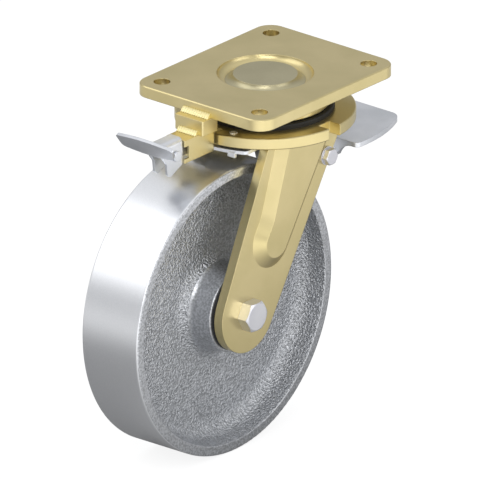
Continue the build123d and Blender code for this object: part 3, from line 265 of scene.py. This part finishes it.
def noise(tree, scale, detail):
    """A noise texture on Object coordinates, with its scale in 1/m."""
    place = tree.nodes.new("ShaderNodeTexCoord")
    texture = tree.nodes.new("ShaderNodeTexNoise")
    texture.inputs["Scale"].default_value = scale
    texture.inputs["Detail"].default_value = detail
    tree.links.new(place.outputs["Object"], texture.inputs["Vector"])
    return texture.outputs["Fac"]


def blend_colours(tree, factor, dark, light):
    """Two colours mixed by a texture, stretched between two of its levels."""
    ramp = tree.nodes.new("ShaderNodeValToRGB")
    for element, position, colour in zip(ramp.color_ramp.elements, colour_levels, (dark, light)):
        element.position = position
        element.color = (*colour, 1)
    tree.links.new(factor, ramp.inputs["Fac"])
    return ramp.outputs["Color"]


def level(tree, factor, limits):
    """A noise turned into a number between two limits."""
    return stretch(tree, factor, noise_levels, limits)


def bump(tree, height, distance, strength, below=None):
    """A bump with its depth in metres, that may lie on another normal."""
    raised = tree.nodes.new("ShaderNodeBump")
    raised.inputs["Strength"].default_value = strength
    raised.inputs["Distance"].default_value = distance
    tree.links.new(height, raised.inputs["Height"])
    if below is not None:
        tree.links.new(below, raised.inputs["Normal"])
    return raised.outputs["Normal"]


def round_edges(tree, radius):
    """A normal that rounds sharp edges by a radius in metres, as plating and tumbling do."""
    edge = tree.nodes.new("ShaderNodeBevel")
    edge.samples = 6
    edge.inputs["Radius"].default_value = radius
    return edge.outputs["Normal"]


print("helpers: noise, blend_colours, level, bump, round_edges")

# %% [markdown]
# Every finish ends in one principled shader. Colours are written as a picture program shows them,
# from 0 to 255, and turned into the linear numbers that a shader wants.

# %% Helpers for finishes
def surface(name, metallic=0.0):
    """A new material with one principled shader. Returns the material, its tree and the shader."""
    material = bpy.data.materials.new(name)
    tree = empty_tree(material)
    shader = tree.nodes.new("ShaderNodeBsdfPrincipled")
    shader.inputs["Metallic"].default_value = metallic
    out = tree.nodes.new("ShaderNodeOutputMaterial")
    tree.links.new(shader.outputs[0], out.inputs["Surface"])
    return material, tree, shader


def linear(red, green, blue):
    """A picture colour from 0 to 255 as linear numbers."""
    parts = [c / 255 for c in (red, green, blue)]
    return tuple(c / 12.92 if c <= 0.04045 else ((c + 0.055) / 1.055) ** 2.4 for c in parts)


def wear(*pieces, material):
    """Give CAD nodes or new pieces one finish."""
    for piece in pieces:
        target = nodes[piece] if isinstance(piece, str) else piece
        target.data.materials.clear()
        target.data.materials.append(material)


def plated_metal(
    name, metallic, colours, roughness, clouds, grain, edge_radius, grain_depth, grain_strength,
):
    """Plated steel: cloudy colour, fine grain in the gloss, softly rounded edges."""
    material, tree, shader = surface(name, metallic)
    patches = noise(tree, *clouds)
    fine = noise(tree, *grain)
    edges = round_edges(tree, edge_radius)
    tree.links.new(blend_colours(tree, patches, *colours), shader.inputs["Base Color"])
    tree.links.new(level(tree, fine, roughness), shader.inputs["Roughness"])
    tree.links.new(bump(tree, fine, grain_depth, grain_strength, edges), shader.inputs["Normal"])
    return material


print("helpers: surface, linear, wear, plated_metal")

# %% [markdown]
# Yellow passivated zinc is a thin golden layer on steel. Up close it is satin and slightly cloudy.
# The weld beads get a paler yellow, a painted highlight for the bright bands they show, and the
# turned king pin looks a little greyer than the plate around it.

# %% Yellow zinc
def yellow_zinc(name, dark, light, roughness):
    """Yellow passivated zinc between two colours."""
    return plated_metal(
        name, 0.95, (dark, light), roughness, clouds=(22, 4), grain=(900, 2),
        edge_radius=0.7 * MM, grain_depth=0.01 * MM, grain_strength=0.3,
    )


plate_zinc = yellow_zinc(
    "yellow_zinc_plate", linear(214, 199, 146), linear(224, 208, 156), (0.285, 0.33)
)
# The beads' paler yellow is a painted highlight.
highlit_bead_zinc = yellow_zinc(
    "yellow_zinc_bead_painted_highlight", linear(240, 226, 166), linear(250, 238, 182), (0.3, 0.4)
)
pin_zinc = yellow_zinc(
    "king_pin_zinc", linear(186, 178, 144), linear(196, 188, 154), (0.32, 0.42)
)

plate_pieces = (
    "top_plate", "swivel_head", "fork_leg_left", "fork_leg_right", "lock_spacer_block",
    "lock_guide_housing", "lock_plate_guides",
)
wear(*plate_pieces, material=plate_zinc)
# The weld beads wear the paler zinc, a painted highlight.
wear("lock_welds", "leg_welds", material=highlit_bead_zinc)
wear("kingpin", material=pin_zinc)
print(f"yellow zinc is on {len(plate_pieces) + 3} nodes")

# %% [markdown]
# The levers, the pedal and the bolts are plated with plain white zinc, a bluish silver. The sheet
# parts are a little darker than the bolts. The bearings and the parts hidden around them are bare
# ground steel, with the sharpest shine.

# %% White zinc
def white_zinc(name, dark, light, roughness):
    """White zinc on sheet or bolts, a bluish silver."""
    return plated_metal(
        name, 0.85, (dark, light), roughness, clouds=(30, 3), grain=(700, 2),
        edge_radius=0.6 * MM, grain_depth=0.02 * MM, grain_strength=0.4,
    )


sheet_zinc = white_zinc(
    "white_zinc_sheet", linear(216, 219, 224), linear(232, 234, 239), (0.28, 0.4)
)
bolt_zinc = white_zinc(
    "white_zinc_bolt", linear(222, 222, 228), linear(238, 238, 242), (0.285, 0.36)
)
bearing_steel = white_zinc(
    "bearing_steel", linear(176, 178, 182), linear(200, 202, 206), (0.12, 0.2)
)

sheet_pieces = (
    "brake_pedal", "brake_shoe", "swivel_lock_plate", "lock_lever", "lock_lever_pin", "lock_bolt",
)
bolt_pieces = (
    "axle_bolt", "axle_washer", "axle_nut", "brake_pivot_bolt", "brake_pivot_nut",
    "brake_pivot_washers", "grease_nipple",
)
bearing_pieces = (
    "thrust_race_upper", "thrust_race_lower", "thrust_balls", "thrust_ball_cage",
    "taper_bearing_cup", "taper_bearing_cone", "taper_rollers", "taper_roller_cage",
    "swivel_lock_disc", "tab_washer", "kingpin_nut", "wheel_bearing_inner_rings",
    "wheel_bearing_outer_rings", "wheel_bearing_balls", "wheel_bearing_cages", "axle_sleeve",
    "pedal_shims",
)
wear(*sheet_pieces, material=sheet_zinc)
wear(*bolt_pieces, material=bolt_zinc)
wear(*bearing_pieces, material=bearing_steel)
print(f"white zinc is on {len(sheet_pieces + bolt_pieces)} nodes, steel on {len(bearing_pieces)}")

# %% [markdown]
# The seals are rubber and the hub's dust caps are plastic. Both are nearly black and matt, so a
# fine grain in colour and bump is all that keeps them from looking like holes.

# %% Black rubber and plastic
black_noise = (1200, 2)
light_factor = 1.8
black_bump = (0.02 * MM, 0.5)


def black_part(name, shade, roughness):
    """Matt black rubber or plastic with a fine grain."""
    material, tree, shader = surface(name)
    grain = noise(tree, *black_noise)
    dark = (shade,) * 3
    light = (shade * light_factor,) * 3
    tree.links.new(blend_colours(tree, grain, dark, light), shader.inputs["Base Color"])
    shader.inputs["Roughness"].default_value = roughness
    tree.links.new(bump(tree, grain, *black_bump), shader.inputs["Normal"])
    return material


wear("swivel_seal", "wheel_bearing_seals", material=black_part("black_rubber", 0.008, 0.6))
wear("hub_dust_caps", material=black_part("black_plastic", 0.012, 0.45))
print("black parts: two kinds of seal and the dust caps")

# %% [markdown]
# The wheel is cast iron with silver grey paint. Sand leaves a coarse, sparkling grain in the
# recess between hub and rim. The rim's flanks and the hub are smooth, and the tread is turned
# smooth and brightest of all. The distance from the axle tells them apart, so that one material
# covers the whole casting.

# %% Cast iron
wheel_low, wheel_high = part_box("wheel_casting")
wheel_centre = (wheel_low + wheel_high) / 2
wheel_radius = (wheel_high.z - wheel_low.z) / 2
rim_inner_radius = 116 * MM
hub_smooth_radius = 39 * MM
rim_margin = 0.3 * MM
tread_margin = 0.6 * MM
wheel_edge_radius = 0.9 * MM
sand_noise = (560, 2)
sand_bump = (2.1 * MM, 1.0)
paint_noise = (1700, 2)
paint_bump = (0.05 * MM, 0.5)
cast_colours = (linear(168, 170, 173), linear(214, 216, 220))
turned_colours = (linear(236, 238, 241), linear(246, 247, 250))
wheel_roughness = (0.285, 0.34)
cast_metallic = 0.82
tread_extra_metallic = 0.15


def from_axle(tree):
    """The distance of each point from the wheel's axle, in metres."""
    place = tree.nodes.new("ShaderNodeTexCoord")
    parts = tree.nodes.new("ShaderNodeSeparateXYZ")
    tree.links.new(place.outputs["Object"], parts.inputs[0])
    across = maths(tree, "SUBTRACT", parts.outputs["X"], wheel_centre.x)
    upward = maths(tree, "SUBTRACT", parts.outputs["Z"], wheel_centre.z)
    squares = [maths(tree, "MULTIPLY", side, side) for side in (across, upward)]
    return maths(tree, "SQRT", maths(tree, "ADD", *squares))


def cast_iron(name):
    """Painted cast iron: coarse grain in the recess, smooth and bright where it is turned."""
    material, tree, shader = surface(name)
    radius = from_axle(tree)
    inside = maths(tree, "LESS_THAN", radius, rim_inner_radius + rim_margin)
    recess = maths(tree, "GREATER_THAN", radius, hub_smooth_radius)
    tread = maths(tree, "GREATER_THAN", radius, wheel_radius - tread_margin)
    coarse = noise(tree, *sand_noise)
    fine = noise(tree, *paint_noise)

    sand = maths(tree, "MULTIPLY", coarse, maths(tree, "MULTIPLY", inside, recess))
    shape = bump(tree, sand, *sand_bump, below=round_edges(tree, wheel_edge_radius))
    shape = bump(tree, fine, *paint_bump, below=shape)
    extra = maths(tree, "MULTIPLY", tread, tread_extra_metallic)
    shine = maths(tree, "ADD", extra, cast_metallic)

    paint = tree.nodes.new("ShaderNodeMix")
    paint.data_type = "RGBA"
    cast = blend_colours(tree, coarse, *cast_colours)
    turned = blend_colours(tree, fine, *turned_colours)
    factor_socket, cast_socket, turned_socket, colour_out = 0, 6, 7, 2
    tree.links.new(tread, paint.inputs[factor_socket])
    tree.links.new(cast, paint.inputs[cast_socket])
    tree.links.new(turned, paint.inputs[turned_socket])

    tree.links.new(paint.outputs[colour_out], shader.inputs["Base Color"])
    tree.links.new(shine, shader.inputs["Metallic"])
    tree.links.new(level(tree, fine, wheel_roughness), shader.inputs["Roughness"])
    tree.links.new(shape, shader.inputs["Normal"])
    return material


wear("wheel_casting", material=cast_iron("wheel_iron"))
print(f"the wheel's centre is {wheel_centre[:]}, its radius {wheel_radius:.4f} m")

# %% [markdown]
# A weld bead isn't a smooth strip, because each drop of metal leaves a ripple as it sets. The
# solid beads have the right place and width, so a copy of them is remeshed into a fine, even grid,
# and a Displace modifier moves it in and out with a band texture. An empty that is very long in
# two directions makes the bands run across the bead only. The bead is a new object with a copy of
# the mesh, because a duplicated object would keep the node's own label and be listed as that node.

# %% Weld beads
ripple_length = 2.4 * MM
ripple_depth = 0.35 * MM
ripple_mid_level = 0.6
band_period = 2 * math.pi / 10  # of Blender's wood texture, in its own units
ruler_length = 1000.0
weld_join = 0.01 * MM


def select_only(piece):
    """Make one object the selected and active one."""
    bpy.ops.object.select_all(action="DESELECT")
    piece.select_set(True)
    bpy.context.view_layer.objects.active = piece


def finish_piece(piece, body, material):
    """Let a new piece ride on its body, and give it its slot and finish."""
    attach(piece, body)
    wear(piece, material=material)


def rippled_bead(name, node, body, along, grid):
    """A finely meshed copy of a weld node with ripples across the axis 'along'."""
    bead = bpy.data.objects.new(name, nodes[node].data.copy())
    bpy.context.collection.objects.link(bead)
    select_only(bead)
    bpy.ops.object.mode_set(mode="EDIT")
    bpy.ops.mesh.select_all(action="SELECT")
    bpy.ops.mesh.remove_doubles(threshold=weld_join)
    bpy.ops.object.mode_set(mode="OBJECT")
    even = bead.modifiers.new("even_grid", "REMESH")
    even.mode = "VOXEL"
    even.voxel_size = grid
    bpy.ops.object.modifier_apply(modifier=even.name)

    bpy.ops.object.empty_add()
    ruler = bpy.context.object
    ruler.scale = [ruler_length] * 3
    ruler.scale[along] = ripple_length / band_period
    bpy.context.view_layer.update()
    bands = bpy.data.textures.new(name + "_bands", "WOOD")
    bands.wood_type = "BANDS"
    bands.noise_basis_2 = "SIN"
    select_only(bead)
    push = bead.modifiers.new("ripples", "DISPLACE")
    push.texture = bands
    push.texture_coords = "OBJECT"
    push.texture_coords_object = ruler
    push.strength = ripple_depth
    push.mid_level = ripple_mid_level
    bpy.ops.object.modifier_apply(modifier=push.name)
    bpy.ops.object.shade_smooth()
    bpy.data.objects.remove(ruler)

    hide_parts(node)
    finish_piece(bead, body, highlit_bead_zinc)
    print(f"{name}: {len(bead.data.polygons)} faces")


rippled_bead("lock_weld_beads", "lock_welds", "mounting_plate", along=1, grid=0.3 * MM)
rippled_bead("leg_weld_beads", "leg_welds", "fork", along=0, grid=0.45 * MM)

# %% [markdown]
# The ends of the bolts show a turn or two of thread beyond their nuts. The solid ends are plain,
# so a helical ridge is wound on each: a small triangle on its side, turned round the bolt by a
# Screw modifier that climbs one pitch per turn. Both ends of the ridge are closed with a face.

# %% A helical ridge
thread_stand = 0.25 * MM
thread_turns = 2
tooth_share = 0.45  # of the pitch
steps_per_turn = 40
quarter = math.radians(90)


def wind_thread(name, body, material, radius, pitch, start, lean):
    """A ridge of thread round an axis through start. Lean turns +Z onto that axis."""
    tooth = tooth_share * pitch
    bpy.ops.object.select_all(action="DESELECT")
    bpy.ops.mesh.primitive_circle_add(
        vertices=3, radius=tooth, fill_type="NOTHING",
        location=(radius + thread_stand - tooth, 0, 0), rotation=(quarter, quarter, 0),
    )
    ridge = bpy.context.object
    ridge.name = name
    bpy.ops.object.transform_apply(location=True, rotation=True, scale=True)
    wind = ridge.modifiers.new("wind", "SCREW")
    wind.axis = "Z"
    wind.angle = 2 * math.pi
    wind.screw_offset = pitch
    wind.iterations = thread_turns
    wind.steps = steps_per_turn
    wind.render_steps = steps_per_turn
    bpy.ops.object.modifier_apply(modifier=wind.name)

    bpy.ops.object.mode_set(mode="EDIT")
    bpy.ops.mesh.select_mode(type="VERT")
    bpy.ops.mesh.select_all(action="DESELECT")
    bpy.ops.mesh.select_non_manifold()
    bpy.ops.mesh.edge_face_add()
    bpy.ops.mesh.select_all(action="SELECT")
    bpy.ops.mesh.normals_make_consistent(inside=False)
    bpy.ops.object.mode_set(mode="OBJECT")
    ridge.rotation_euler = lean
    ridge.location = start
    bpy.ops.object.transform_apply(location=True, rotation=True, scale=True)
    finish_piece(ridge, body, material)
    print(f"{name}: {thread_turns} turns of {pitch / MM:.2f} mm")


print("helper: wind_thread")

# %% [markdown]
# On the two bolts the ridge starts inside the nut and climbs outwards, so its first end is hidden.
# On the king pin it starts just above the pin's lower end and climbs. The nuts' boxes give the
# bolts' axes.

# %% Screw threads
inside_axle_nut = 1.2 * MM
inside_pivot_nut = 0.9 * MM
above_pin_end = 1.6 * MM
along_y = (-quarter, 0, 0)
upright = (0, 0, 0)
axle_low, axle_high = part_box("axle_nut")
axle_middle = (axle_low + axle_high) / 2
pivot_low, pivot_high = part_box("brake_pivot_nut")
pivot_middle = (pivot_low + pivot_high) / 2
king_pin_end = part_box("kingpin")[0].z

wind_thread(
    "axle_thread", "fork", bolt_zinc, radius=8 * MM, pitch=1.5 * MM,
    start=(axle_middle.x, axle_high.y - inside_axle_nut, axle_middle.z), lean=along_y,
)
wind_thread(
    "brake_pivot_thread", "fork", bolt_zinc, radius=4 * MM, pitch=1.0 * MM,
    start=(pivot_middle.x, pivot_high.y - inside_pivot_nut, pivot_middle.z), lean=along_y,
)
wind_thread(
    "king_pin_thread", "mounting_plate", pin_zinc, radius=12 * MM,
    pitch=1.2 * MM, start=(0, 0, king_pin_end + above_pin_end), lean=upright,
)
